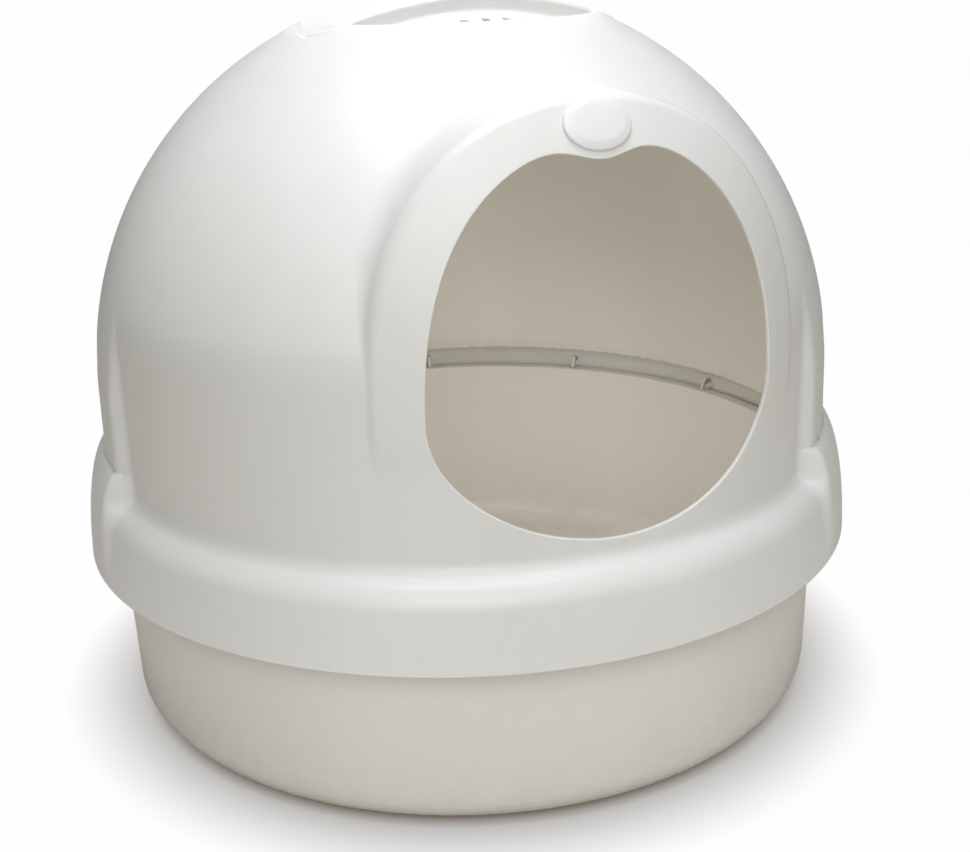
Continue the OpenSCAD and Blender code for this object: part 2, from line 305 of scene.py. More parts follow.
class HoodForm:
    """The hood's outer surface as a field: negative inside, and about a distance near it."""

    def __init__(self, scene, round_wall=False):
        self.round_wall = round_wall
        self.hood, self.entry = scene.litter_box_hood, scene.litter_box_entry
        self.crown = scene.litter_box_crown
        h, e, c = self.hood, self.entry, self.crown
        self.crease_z = SKIRT_Z + h.collar_h
        self.dome_z = self.crease_z + h.wall_h
        self.top_z = self.dome_z + h.dome_r
        self.body_r = h.dome_r - h.inset
        self.crease_r = self.body_r - h.lean
        spring_z = self.dome_z + math.sqrt(h.dome_r ** 2 - self.body_r ** 2)
        self.body_slope = h.lean / (spring_z - self.crease_z)
        top, low = h.shoulder_slope, h.skirt_lean
        self.crease_c = (self.crease_r + h.crease_round, self.crease_z)
        self.crease_end = (self.crease_c[0] - h.crease_round * math.cos(top),
                           self.crease_c[1] - h.crease_round * math.sin(top))
        self.shoulder_c = (self.crease_end[0] - h.shoulder_round * math.cos(top),
                           self.crease_end[1] - h.shoulder_round * math.sin(top))
        self.shoulder_end = (self.shoulder_c[0] + h.shoulder_round * math.cos(low),
                             self.shoulder_c[1] + h.shoulder_round * math.sin(low))
        self.skirt_r = self.shoulder_end[0] + (self.shoulder_end[1] - SKIRT_Z) * math.tan(low)
        self.entry_mid_z = self.crease_z + e.sill_h + e.down
        self.facade_top = self.entry_mid_z + e.facade_up
        self.facade_r = self.body_r + e.facade_proud
        self.facade_curve_z = self.entry_mid_z + 12 * MM
        self.bar_axis_z = self.top_z - c.bar_drop - c.bar_curve_r
        self.floor_r = h.dome_r - c.dish_depth

    def wall_radius(self, z):
        """Radius of the upright wall and the collar at height z."""
        h = self.hood
        wall = self.crease_r + (z - self.crease_z) * self.body_slope
        crease = self.crease_c[0] - arc(h.crease_round, z - self.crease_c[1])
        shoulder = self.shoulder_c[0] + arc(h.shoulder_round, z - self.shoulder_c[1])
        skirt = self.shoulder_end[0] + (self.shoulder_end[1] - z) * math.tan(h.skirt_lean)
        return np.select([z > self.crease_z, z > self.crease_end[1], z > self.shoulder_end[1]],
                         [wall, crease, shoulder], skirt)

    def grip_radius(self, z):
        """Radius of a grip at height z: upright, flaring out to the skirt's edge."""
        h = self.hood
        rise = np.clip((z - SKIRT_Z) / h.grip_flare_h, 0, 1)
        flare = (self.skirt_r - h.dome_r) * np.sqrt(1 - rise ** 2)
        below = np.maximum(SKIRT_Z - z, 0) * math.tan(h.skirt_lean)
        return h.dome_r + flare + below

    def grip_share(self, x, y):
        """1 on the grips, 0 between them, eased over the step at their sides."""
        h = self.hood
        if self.round_wall:
            return np.zeros(np.shape(x))
        along = x * math.cos(h.grip_turn) + y * math.sin(h.grip_turn)
        across = -x * math.sin(h.grip_turn) + y * math.cos(h.grip_turn)
        off = np.arctan2(np.abs(across), np.abs(along)) - h.grip_angle / 2
        return 1 - ease(off * h.dome_r / h.grip_edge + 0.5)

    def side_radius(self, x, y, z):
        wall = self.wall_radius(z)
        return wall + (self.grip_radius(z) - wall) * self.grip_share(x, y)

    def body(self, x, y, z):
        """Dome, wall, collar and grips."""
        h = self.hood
        r = np.hypot(x, y)
        side_d = off_profile(lambda at: self.side_radius(x, y, at), r, z)
        up = np.maximum(z - self.dome_z, 0)
        dome_d = np.where(z > self.dome_z, np.hypot(r, up) - h.dome_r, -1.0)
        return blend_max(dome_d, side_d, h.spring_blend * ease(up / (30 * MM)))

    def facade_radius(self, z):
        """Radius of the barrel-shaped facade at height z."""
        e = self.entry
        foot_z, knee_z = self.facade_curve_z - SINK_FOOT, self.facade_curve_z - SINK_KNEE
        up = np.clip(z - self.facade_curve_z, 0, 0.9 * e.facade_curve_r)
        barrel = self.facade_r - e.facade_curve_r + np.sqrt(e.facade_curve_r ** 2 - up ** 2)
        return barrel - ease((knee_z - z) / (knee_z - foot_z)) * SINK

    def facade_arch(self, x, z):
        """Distance outside the facade's outline, seen from the front."""
        e = self.entry
        base_z = self.entry_mid_z + ARCH_FOOT
        arch = arch_distance(x, z - base_z, e.facade_w / 2, e.facade_up - ARCH_FOOT, FACADE_POWER)
        return np.where(z > base_z, arch, np.abs(x) - e.facade_w / 2)

    def facade(self, x, y, z):
        """The barrel-shaped block behind the facade's face, on the front side only."""
        face = off_profile(self.facade_radius, np.hypot(x, y), z)
        behind = y + 100 * MM
        return np.maximum(soft_max(face, self.facade_arch(x, z), self.entry.facade_lip), behind)

    def facade_face(self, p):
        """The facade's own face, as if it ran on past its edge."""
        return np.hypot(p[..., 0], p[..., 1]) - self.facade_radius(p[..., 2])

    def __call__(self, p):
        x, y, z = p[..., 0], p[..., 1], p[..., 2]
        c, e = self.crown, self.entry
        body = self.body(x, y, z)
        dome_at = arc(self.hood.dome_r, np.maximum(z - self.dome_z, 0))
        step = self.facade_radius(z) - np.minimum(self.wall_radius(z), dome_at)
        fillet = np.clip(0.6 * step, 1.2 * MM, e.facade_fillet)
        d = -blend_max(-body, -self.facade(x, y, z), fillet)
        top = z > self.top_z - 80 * MM
        if not np.any(top):
            return d
        r = np.hypot(x, y)
        ball = np.sqrt(r ** 2 + (z - self.dome_z) ** 2)
        dish = soft_max(r - c.dish_r, self.floor_r - ball, c.edge_round)
        wide = np.abs(x) - (c.bar_len / 2 - c.bar_corner)
        deep = np.abs(y) - (c.bar_w / 2 - c.bar_corner)
        block = (np.hypot(np.maximum(wide, 0), np.maximum(deep, 0))
                 + np.minimum(np.maximum(wide, deep), 0) - c.bar_corner)
        crown = np.hypot(x, z - self.bar_axis_z) - c.bar_curve_r
        above = np.maximum(block, -crown)
        cut = soft_max(d, -dish, c.edge_round)
        cut = soft_max(cut, -above, 1.2 * MM)
        bar = soft_max(block, crown, c.edge_round)
        foot = c.edge_round * ease((c.dish_r + 2 * MM - np.abs(x)) / (10 * MM)) + 1e-6
        return np.where(top, soft_min(cut, bar, foot), d)

    def entry_gap(self, x, z):
        """Distance outside the entry's outline, seen from the front."""
        e = self.entry

        def ratio(x, z):
            rise = z - self.entry_mid_z
            upper = rise + e.dip * np.exp(-(2 * x / e.dip_w) ** 2)
            u = np.abs(x) / (e.width / 2) + 1e-6
            v = np.maximum(upper, 0) / e.up + 1e-6
            high = (u ** ENTRY_POWER + v ** ENTRY_POWER) ** (1 / ENTRY_POWER)
            low = np.hypot(u, rise / e.down)
            return np.where(rise > 0, high, low) - 1
        nudge = 0.1 * MM
        gx = (ratio(x + nudge, z) - ratio(x - nudge, z)) / (2 * nudge)
        gz = (ratio(x, z + nudge) - ratio(x, z - nudge)) / (2 * nudge)
        return ratio(x, z) / np.maximum(np.hypot(gx, gz), 1.0)

    def vent_gap(self, x, y):
        """Distance outside the nearest vent slot, seen from above."""
        c = self.crown
        reach = (c.vents - 1) // 2
        off = x - np.clip(np.round(x / c.vent_pitch), -reach, reach) * c.vent_pitch
        mid = c.bar_w / 2 + c.vent_gap + c.vent_len / 2
        run = np.maximum(np.abs(np.abs(y) - mid) - (c.vent_len - c.vent_w) / 2, 0)
        return np.hypot(off, run) - c.vent_w / 2

    def keep(self, p, entry_edge, vent_edge, skirt_edge):
        """Positive where the skin stays, when each cut is widened by its own edge."""
        x, y, z = p[..., 0], p[..., 1], p[..., 2]
        far = 50 * MM
        entry = np.where((y < 0) & (z < self.facade_top), self.entry_gap(x, z) - entry_edge, far)
        vents = np.where(z > self.top_z - 60 * MM, self.vent_gap(x, y) - vent_edge, far)
        return np.minimum(np.minimum(entry, vents), z - SKIRT_Z - skirt_edge)


# ------------------------------------------------------------ skins and rims

CORNERS = np.array(list(np.ndindex(2, 2, 2)))


def surface_net(field, low, high, step):
    """Corners and quads of the field's zero level inside a box."""
    axes = [np.arange(a, b + step, step) for a, b in zip(low, high)]
    grid = np.stack(np.meshgrid(*axes, indexing="ij"), -1)
    value = np.empty(grid.shape[:3])
    for i in range(0, len(axes[0]), 8):
        value[i:i + 8] = field(grid[i:i + 8])
    inside = value < 0
    size = np.array(value.shape)
    count = sum(inside[i:size[0] - 1 + i, j:size[1] - 1 + j, k:size[2] - 1 + k].astype(np.int8)
                for i, j, k in CORNERS)
    mixed = (count > 0) & (count < 8)
    cells = np.argwhere(mixed)
    number = np.full(mixed.shape, -1)
    number[mixed] = np.arange(len(cells))
    near = value[tuple((cells[:, None] + CORNERS).transpose(2, 0, 1))]
    total, hits = np.zeros((len(cells), 3)), np.zeros((len(cells), 1))
    for a in range(8):
        for b in range(a + 1, 8):
            if np.abs(CORNERS[a] - CORNERS[b]).sum() != 1:
                continue
            cross = (near[:, a] < 0) != (near[:, b] < 0)
            t = near[:, a] / np.where(cross, near[:, a] - near[:, b], 1)
            point = CORNERS[a] + t[:, None] * (CORNERS[b] - CORNERS[a])
            total += np.where(cross[:, None], point, 0)
            hits += cross[:, None]
    points = np.array(low) + step * (cells + total / hits)
    quads = []
    for axis in range(3):
        u, v = (axis + 1) % 3, (axis + 2) % 3
        first = np.take(inside, np.arange(size[axis] - 1), axis)
        second = np.take(inside, np.arange(1, size[axis]), axis)
        edge = np.argwhere(first != second)
        whole = (edge[:, [u, v]] > 0).all(1) & (edge[:, [u, v]] < size[[u, v]] - 1).all(1)
        edge = edge[whole]
        ring = []
        for du, dv in ((1, 1), (0, 1), (0, 0), (1, 0)):
            cell = edge.copy()
            cell[:, u] -= du
            cell[:, v] -= dv
            ring.append(number[tuple(cell.T)])
        ring = np.stack(ring, 1)
        back = ~first[tuple(edge.T)]
        ring[back] = ring[back][:, ::-1]
        quads.append(ring)
    return points, np.concatenate(quads)


def relax(field, points, quads, rounds):
    """Evens out the spacing of the points along the surface."""
    pairs = np.concatenate([quads[:, [i, (i + 1) % 4]] for i in range(4)])
    pairs = np.concatenate([pairs, pairs[:, ::-1]])
    links = np.bincount(pairs[:, 0], minlength=len(points))[:, None]
    for _ in range(rounds):
        total = np.zeros_like(points)
        for axis in range(3):
            total[:, axis] = np.bincount(pairs[:, 0], points[pairs[:, 1], axis], len(points))
        target = total / np.maximum(links, 1)
        points = np.where(links >= 6, 0.5 * points + 0.5 * target, points)
        points = settle(field, points, 2)
    return points


def fine_skin(field, points, quads, spacing, rounds):
    """Splits the quads wherever the spacing asked for is finer than they are."""
    mesh = bpy.data.meshes.new("skin")
    mesh.from_pydata(points, [], quads.tolist())
    bm = bmesh.new()
    bm.from_mesh(mesh)
    bpy.data.meshes.remove(mesh)
    for _ in range(rounds):
        centres = np.array([f.calc_center_median() for f in bm.faces])
        longest = np.array([max(e.calc_length() for e in f.edges) for f in bm.faces])
        wanted = longest > 1.3 * spacing(centres)
        edges = {e for f, w in zip(bm.faces, wanted) if w for e in f.edges}
        bmesh.ops.subdivide_edges(bm, edges=list(edges), cuts=1, use_grid_fill=True)
        moved = settle(field, np.array([v.co for v in bm.verts]), 2)
        for v, co in zip(bm.verts, moved):
            v.co = co
    bm.verts.index_update()
    points = np.array([v.co for v in bm.verts])
    faces = [[v.index for v in f.verts] for f in bm.faces]
    bm.free()
    return points, faces


def cut_skin(field, keep, points, faces):
    """Cuts the skin along the zero level of keep, and gives the points and faces that stay."""
    pairs = np.array([(f[i - 1], f[i]) for f in faces for i in range(len(f))])
    span = np.linalg.norm(points[pairs[:, 0]] - points[pairs[:, 1]], axis=1)
    local = np.full(len(points), 1.0)
    np.minimum.at(local, pairs[:, 0], span)
    np.minimum.at(local, pairs[:, 1], span)
    side = keep(points)
    snap = np.abs(side) < 0.22 * local
    points = points.copy()
    points[snap] = settle_both(field, keep, points[snap])
    side[snap] = 0.0
    made, new, out = {}, [], []

    def crossing(a, b):
        key = (min(a, b), max(a, b))
        if key not in made:
            t = side[a] / (side[a] - side[b])
            made[key] = len(points) + len(new)
            new.append(points[a] + t * (points[b] - points[a]))
        return made[key]
    for face in faces:
        s = side[face]
        if s.max() <= 0:
            continue
        if s.min() >= 0:
            out.append(face)
            continue
        kept = []
        for i, b in enumerate(face):
            a = face[i - 1]
            if side[a] * side[b] < 0:
                kept.append(crossing(a, b))
            if side[b] >= 0:
                kept.append(b)
        if len(kept) > 2:
            out.append(kept)
    if new:
        points = np.concatenate([points, settle_both(field, keep, np.array(new))])
    used = sorted({i for f in out for i in f})
    order = np.full(len(points), -1)
    order[used] = np.arange(len(used))
    return points[used], [[int(order[i]) for i in f] for f in out]


def settle_both(field, keep, p, rounds=5):
    """Moves the points p onto the line where both fields are zero."""
    for _ in range(rounds):
        p = settle(field, p, 1)
        n = unit(slope(field, p))
        g = slope(keep, p)
        p = newton(keep, p, g - n * (g * n).sum(-1, keepdims=True))
    return settle(field, p, 1)


def open_loops(faces):
    """The open edges of a skin, chained into loops that run as its faces do."""
    edges = {(f[i - 1], f[i]) for f in faces for i in range(len(f))}
    after = {a: b for a, b in edges if (b, a) not in edges}
    loops = []
    while after:
        start, here = after.popitem()
        loop = [start]
        while here != start:
            loop.append(here)
            here = after.pop(here)
        loops.append(loop)
    return loops


def rim_paths(field, wall, edge, start, outer, inner):
    """Rounded paths from the outer skin through the cut to the inner skin.
    outer and inner are the sharp corners that the rounding replaces."""
    across = unit(inner - outer)
    first, last = outer + edge * across, inner - edge * across
    lead = start - outer
    end = settle(lambda p: field(p) + wall, inner + unit(lead) * edge, 3)
    turn = np.linspace(0, 1, 5)[:, None, None]

    def bend(a, b, c):
        return (1 - turn) ** 2 * a + 2 * turn * (1 - turn) * b + turn ** 2 * c
    return np.concatenate([bend(start, outer, first), bend(last, inner, end)])


class Shell:
    """Points, faces and surface directions of one closed piece, as they are put together."""

    def __init__(self):
        self.points, self.normals, self.faces = [], [], []

    def add(self, points, faces, normals=None):
        first = len(self.points)
        self.points.extend(np.asarray(points).tolist())
        if normals is None:
            normals = np.zeros((len(points), 3))
        self.normals.extend(np.asarray(normals).tolist())
        self.faces.extend([i + first for i in f] for f in faces)
        return first

    def strip(self, rows):
        """Quads between closed rows of point numbers; each row runs against the faces before it."""
        for low, high in zip(rows, rows[1:]):
            for i in range(len(low)):
                j = (i + 1) % len(low)
                self.faces.append([low[j], low[i], high[i], high[j]])

    def zip_loops(self, near, far):
        """Triangles between two closed loops of point numbers that run the same way."""
        at = np.array(self.points)
        start = int(np.argmin(np.linalg.norm(at[far] - at[near[0]], axis=1)))
        far = far[start:] + far[:start]
        i = j = 0
        n, m = len(near), len(far)
        while i < n or j < m:
            a, b = near[i % n], far[j % m]
            a2, b2 = near[(i + 1) % n], far[(j + 1) % m]
            step_near = j >= m or (i < n and np.sum((at[a2] - at[b]) ** 2)
                                   <= np.sum((at[a] - at[b2]) ** 2))
            if step_near:
                self.faces.append([a2, a, b])
                i += 1
            else:
                self.faces.append([b, b2, a])
                j += 1

    def mesh(self, name):
        mesh = bpy.data.meshes.new(name)
        mesh.from_pydata(self.points, [], self.faces)
        mesh.validate()
        mesh.shade_smooth()
        mesh.normals_split_custom_set_from_vertices(self.normals)
        return mesh


def hood_shell(form):
    """The hood's outer and inner skins, joined by rounded rims at the skirt, entry and vents."""
    h = form.hood
    wall, edge = h.wall, h.edge_round
    reach = form.skirt_r + 8 * MM
    smooth_form = HoodForm(bpy.context.scene, round_wall=True)
    inner_field = lambda p: soft_max(form(p), smooth_form(p), 3 * MM) + wall

    def spacing(p):
        x, y, z = p.T
        fine, gap = 1.9 * MM, np.full(len(p), 9 * MM)
        front = (y < 0) & (z < form.facade_top + 12 * MM)
        c = form.crown
        near_entry = np.abs(form.entry_gap(x, z)) < 5 * MM
        near_lip = np.abs(form.facade_arch(x, z) + 1 * MM) < 9 * MM
        near_lip &= z > form.facade_curve_z - 40 * MM
        gap[front & (near_entry | near_lip)] = fine
        top = z > form.top_z - 45 * MM
        r = np.hypot(x, y)
        bar = np.maximum(np.abs(x) - c.bar_len / 2, np.abs(y) - c.bar_w / 2)
        gap[top & ((np.abs(r - c.dish_r) < 4 * MM) | (np.abs(bar) < 5 * MM))] = fine
        gap[top & (np.abs(form.vent_gap(x, y)) < 3 * MM)] = 1.0 * MM
        gap[np.abs(z - form.crease_z) < 9 * MM] = 4 * MM
        share = form.grip_share(x, y)
        gap[(share > 0.002) & (share < 0.998) & (z < form.dome_z + 30 * MM)] = 2.5 * MM
        return gap

    shell = Shell()
    low = (-reach, -reach, SKIRT_Z - 8 * MM)
    high = (reach, reach, form.top_z + 4 * MM)
    outer_step, inner_step = ((3.6 * MM, 6.6 * MM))
    skins = []
    for field, step, flip in ((form, outer_step, False), (inner_field, inner_step, True)):
        points, quads = surface_net(field, low, high, step)
        points = relax(field, settle(field, points), quads, 3)
        points, faces = fine_skin(field, points, quads, spacing, 2 + flip)
        widen = (edge + 1.6 * MM, edge + 0.8 * MM, edge + 2.5 * MM) if flip else (edge,) * 3
        points, faces = cut_skin(field, lambda p: form.keep(p, *widen), points, faces)
        if flip:
            faces = [f[::-1] for f in faces]
        normals = unit(slope(field, points)) * (-1 if flip else 1)
        first = shell.add(points, faces, normals)
        loops = [[i + first for i in loop] for loop in open_loops(faces)]
        skins.append(loops)

    at = np.array(shell.points)
    inner_middles = np.array([at[loop].mean(0) for loop in skins[1]])
    for loop in skins[0]:
        start = at[loop]
        middle = start.mean(0)
        if middle[2] < SKIRT_Z + 10 * MM:
            way = -unit(start * (1, 1, 0))
            outer = start * (1, 1, 0) + (0, 0, SKIRT_Z)
            outer = settle_along(form, outer, way)
            inner = settle_along(inner_field, outer + wall * way, way)
        else:
            if middle[2] > form.facade_top:
                way = np.array((0.0, 0.0, -1.0))
                gap = lambda p: form.vent_gap(p[..., 0], p[..., 1])
            else:
                way = np.array((0.0, 1.0, 0.0))
                gap = lambda p: form.entry_gap(p[..., 0], p[..., 2])
            outer = start
            for _ in range(4):
                outer = newton(gap, outer, slope(gap, outer))
            outer = settle_along(form, outer, way)
            inner = settle_along(inner_field, outer + wall * way, way)
        rows = rim_paths(form, wall, edge, start, outer, inner)
        numbers = [loop]
        for row in rows[1:]:
            first = shell.add(row, [])
            numbers.append(list(range(first, first + len(row))))
        shell.strip(numbers)
        match = int(np.argmin(np.linalg.norm(inner_middles - middle, axis=1)))
        shell.zip_loops(numbers[-1], skins[1][match][::-1])
    return shell


# ----------------------------------------------------------- turned outlines

def rounded(corners, steps=5):
    """An outline through corners (x, y, radius), with each corner rounded."""
    out = []
    for i, (x, y, radius) in enumerate(corners):
        here = np.array((x, y))
        if radius == 0 or i in (0, len(corners) - 1):
            out.append(here)
            continue
        before = np.array(corners[i - 1][:2]) - here
        after = np.array(corners[i + 1][:2]) - here
        a, b = unit(before), unit(after)
        half = math.acos(float(np.clip(a @ b, -1, 1))) / 2
        longest = 0.49 * min(np.linalg.norm(before), np.linalg.norm(after))
        reach = min(radius / math.tan(half), longest)
        radius = reach * math.tan(half)
        centre = here + unit(a + b) * radius / math.sin(half)
        start, end = here + a * reach - centre, here + b * reach - centre
        sweep = math.pi - 2 * half
        for k in range(steps + 1):
            t = k / steps
            mix = (math.sin((1 - t) * sweep) * start + math.sin(t * sweep) * end) / math.sin(sweep)
            out.append(centre + mix)
    return np.array(out)


def spread(outline, longest):
    """Adds points along an outline so that no stretch is longer than asked."""
    out = [outline[0]]
    for a, b in zip(outline, outline[1:]):
        n = max(1, math.ceil(np.linalg.norm(b - a) / longest))
        out.extend(a + (b - a) * k / n for k in range(1, n + 1))
    return np.array(out)


def lathe(outline, turns, closed):
    """Points and faces of an outline (radius, height) turned about Z. Unless it is closed,
    its two ends are on the axis."""
    points, faces, rings = [], [], []
    around = circle(turns)
    for r, z in outline:
        if r < 1e-7:
            rings.append([len(points)])
            points.append((0, 0, z))
        else:
            rings.append(list(range(len(points), len(points) + turns)))
            points.extend((r * math.cos(a), r * math.sin(a), z) for a in around)
    pairs = list(zip(rings, rings[1:] + rings[:1] if closed else rings[1:]))
    for low, high in pairs:
        for i in range(turns):
            j = (i + 1) % turns
            quad = [low[i % len(low)], low[j % len(low)], high[j % len(high)], high[i % len(high)]]
            face = list(dict.fromkeys(quad))
            if len(face) > 2:
                faces.append(face)
    return np.array(points), faces


def new_piece(name, mesh, material, body, node):
    """Puts a finished mesh in the scene as a piece that stands for a node."""
    piece = bpy.data.objects.new(name, mesh)
    bpy.context.scene.collection.objects.link(piece)
    mesh.materials.clear()
    mesh.materials.append(material)
    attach(piece, body)
    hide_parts(node)
    return piece


def face_outward(mesh):
    bm = bmesh.new()
    bm.from_mesh(mesh)
    bmesh.ops.recalc_face_normals(bm, faces=bm.faces)
    bm.to_mesh(mesh)
    bm.free()


def smooth_mesh(name, points, faces, crease=40):
    mesh = bpy.data.meshes.new(name)
    mesh.from_pydata(np.asarray(points).tolist(), [], faces)
    mesh.validate()
    face_outward(mesh)
    mesh.shade_smooth()
    mesh.set_sharp_from_angle(angle=math.radians(crease))
    return mesh


def slab(outlines, z, thick, edge):
    """A flat plate from closed outlines, holes included, with rounded edges."""
    curve = bpy.data.curves.new("slab", "CURVE")
    curve.dimensions = "2D"
    curve.fill_mode = "BOTH"
    curve.extrude = thick / 2 - edge
    curve.bevel_depth = edge
    curve.bevel_resolution = 2
    curve.offset = -edge
    for outline in outlines:
        spline = curve.splines.new("POLY")
        spline.points.add(len(outline) - 1)
        for point, (x, y) in zip(spline.points, outline):
            point.co = (x, y, 0, 1)
        spline.use_cyclic_u = True
    holder = bpy.data.objects.new("slab", curve)
    mesh = bpy.data.meshes.new_from_object(holder)
    mesh.transform(Matrix.Translation((0, 0, z)))
    bpy.data.objects.remove(holder)
    bpy.data.curves.remove(curve)
    return mesh


# ------------------------------------------------------------------ finishes

class Finish:
    """A node tree being wired up for one material."""

    def __init__(self, name):
        self.material = bpy.data.materials.new(name)
        self.material.use_nodes = True
        self.tree = self.material.node_tree
        self.shader = self.tree.nodes["Principled BSDF"]
        self.where = self.node("ShaderNodeTexCoord").outputs["Object"]

    def node(self, kind, **settings):
        made = self.tree.nodes.new(kind)
        for key, value in settings.items():
            if key in made.inputs:
                made.inputs[key].default_value = value
            else:
                setattr(made, key, value)
        return made

    def link(self, a, b):
        self.tree.links.new(a, b)

    def feed(self, socket, value):
        """Gives a socket what another node puts out, a number or a colour."""
        if isinstance(value, bpy.types.NodeSocket):
            self.link(value, socket)
        else:
            socket.default_value = value if isinstance(value, float) else (*value, 1.0)

    def stretched(self, scale):
        made = self.node("ShaderNodeMapping", Scale=scale)
        self.link(self.where, made.inputs["Vector"])
        return made.outputs["Vector"]

    def noise(self, scale, detail=3.0, roughness=0.5, vector=None, distortion=0.0):
        made = self.node("ShaderNodeTexNoise", Scale=scale, Detail=detail, Roughness=roughness,
                         Distortion=distortion)
        self.link(vector or self.where, made.inputs["Vector"])
        return made.outputs["Fac"]

    def spread(self, value, low, high, to_low=0.0, to_high=1.0):
        made = self.node("ShaderNodeMapRange", **{"From Min": low, "From Max": high,
                                                  "To Min": to_low, "To Max": to_high})
        self.link(value, made.inputs["Value"])
        return made.outputs["Result"]

    def mix(self, share, a, b):
        made = self.node("ShaderNodeMix", data_type="RGBA")
        self.feed(made.inputs[6], a)
        self.feed(made.inputs[7], b)
        self.link(share, made.inputs[0])
        return made.outputs[2]

    def math(self, operation, a, b):
        made = self.node("ShaderNodeMath", operation=operation)
        self.feed(made.inputs[0], a)
        self.feed(made.inputs[1], b)
        return made.outputs[0]

    def bump(self, height, strength, distance):
        made = self.node("ShaderNodeBump", Strength=strength, Distance=distance)
        self.link(height, made.inputs["Height"])
        return made

    def height_above_floor(self):
        split = self.node("ShaderNodeSeparateXYZ")
        self.link(self.where, split.inputs[0])
        return split.outputs["Z"]


def pearl_plastic(name, light, dark, dust=0.0):
    """Satin pearl-white moulding: flow marks, fine flakes, faint grain and handling marks."""
    f = Finish(name)
    flow = f.noise(5.0, 4.0, 0.55, f.stretched((1.0, 1.0, 0.35)), 0.6)
    cloud = f.spread(flow, 0.35, 0.68)
    flake = f.spread(f.noise(1400.0, 1.0), 0.50, 0.72, 0.0, 0.35)
    base = f.mix(cloud, dark, light)
    base = f.mix(flake, base, tuple(min(1.0, c * 1.06) for c in light))
    if dust:
        low = f.spread(f.height_above_floor(), 0.0, 0.06, 1.0, 0.0)
        speck = f.spread(f.noise(60.0, 6.0, 0.7), 0.45, 0.75)
        share = f.math("MULTIPLY", f.math("MULTIPLY", low, speck), dust)
        base = f.mix(share, base, (0.50, 0.46, 0.40))
    f.link(base, f.shader.inputs["Base Color"])
    marks = f.noise(38.0, 5.0, 0.65, f.stretched((1.0, 1.0, 2.5)))
    scuff = f.spread(marks, 0.35, 0.75, 0.36, 0.47)
    f.link(scuff, f.shader.inputs["Roughness"])
    grain = f.bump(f.noise(950.0, 2.0), 0.10, 0.0002)
    sag = f.bump(f.noise(9.0, 2.0), 0.12, 0.002)
    f.link(sag.outputs["Normal"], grain.inputs["Normal"])
    f.link(grain.outputs["Normal"], f.shader.inputs["Normal"])
    f.shader.inputs["IOR"].default_value = 1.49
    f.shader.inputs["Subsurface Weight"].default_value = 0.25
    f.shader.inputs["Subsurface Radius"].default_value = (1.0, 0.93, 0.78)
    f.shader.inputs["Subsurface Scale"].default_value = 4 * MM
    f.shader.inputs["Coat Weight"].default_value = 0.1
    f.shader.inputs["Coat Roughness"].default_value = 0.3
    return f.material


def tray_plastic(colour):
    """Plain injection-moulded plastic with a matt spark-eroded grain."""
    f = Finish("tray_plastic")
    cloud = f.spread(f.noise(22.0, 4.0), 0.35, 0.7)
    base = f.mix(cloud, tuple(c * 0.93 for c in colour), tuple(colour))
    f.link(base, f.shader.inputs["Base Color"])
    f.link(f.spread(f.noise(300.0, 2.0), 0.3, 0.7, 0.48, 0.60), f.shader.inputs["Roughness"])
    f.link(f.bump(f.noise(1300.0, 2.0), 0.2, 0.0002).outputs["Normal"], f.shader.inputs["Normal"])
    return f.material


def charcoal_felt(dark, light):
    """Needled felt: crossed fibres with charcoal grains and a little lint."""
    f = Finish("charcoal_felt")
    one = f.noise(260.0, 5.0, 0.7, f.stretched((1.0, 0.18, 1.0)), 1.2)
    two = f.noise(260.0, 5.0, 0.7, f.stretched((0.18, 1.0, 1.0)), 1.2)
    fibre = f.math("MAXIMUM", one, two)
    base = f.mix(f.spread(fibre, 0.48, 0.72), tuple(dark), tuple(light))
    grain = f.node("ShaderNodeTexVoronoi", Scale=520.0)
    f.link(f.where, grain.inputs["Vector"])
    speck = f.spread(grain.outputs["Distance"], 0.05, 0.25, 1.0, 0.0)
    base = f.mix(f.math("MULTIPLY", speck, 0.6), base, (0.006, 0.006, 0.007))
    f.link(base, f.shader.inputs["Base Color"])
    f.shader.inputs["Roughness"].default_value = 0.95
    f.shader.inputs["Sheen Weight"].default_value = 0.35
    f.shader.inputs["Sheen Roughness"].default_value = 0.5
    f.link(f.bump(fibre, 0.8, 0.0008).outputs["Normal"], f.shader.inputs["Normal"])
    return f.material


# -------------------------------------------------------------------- pieces

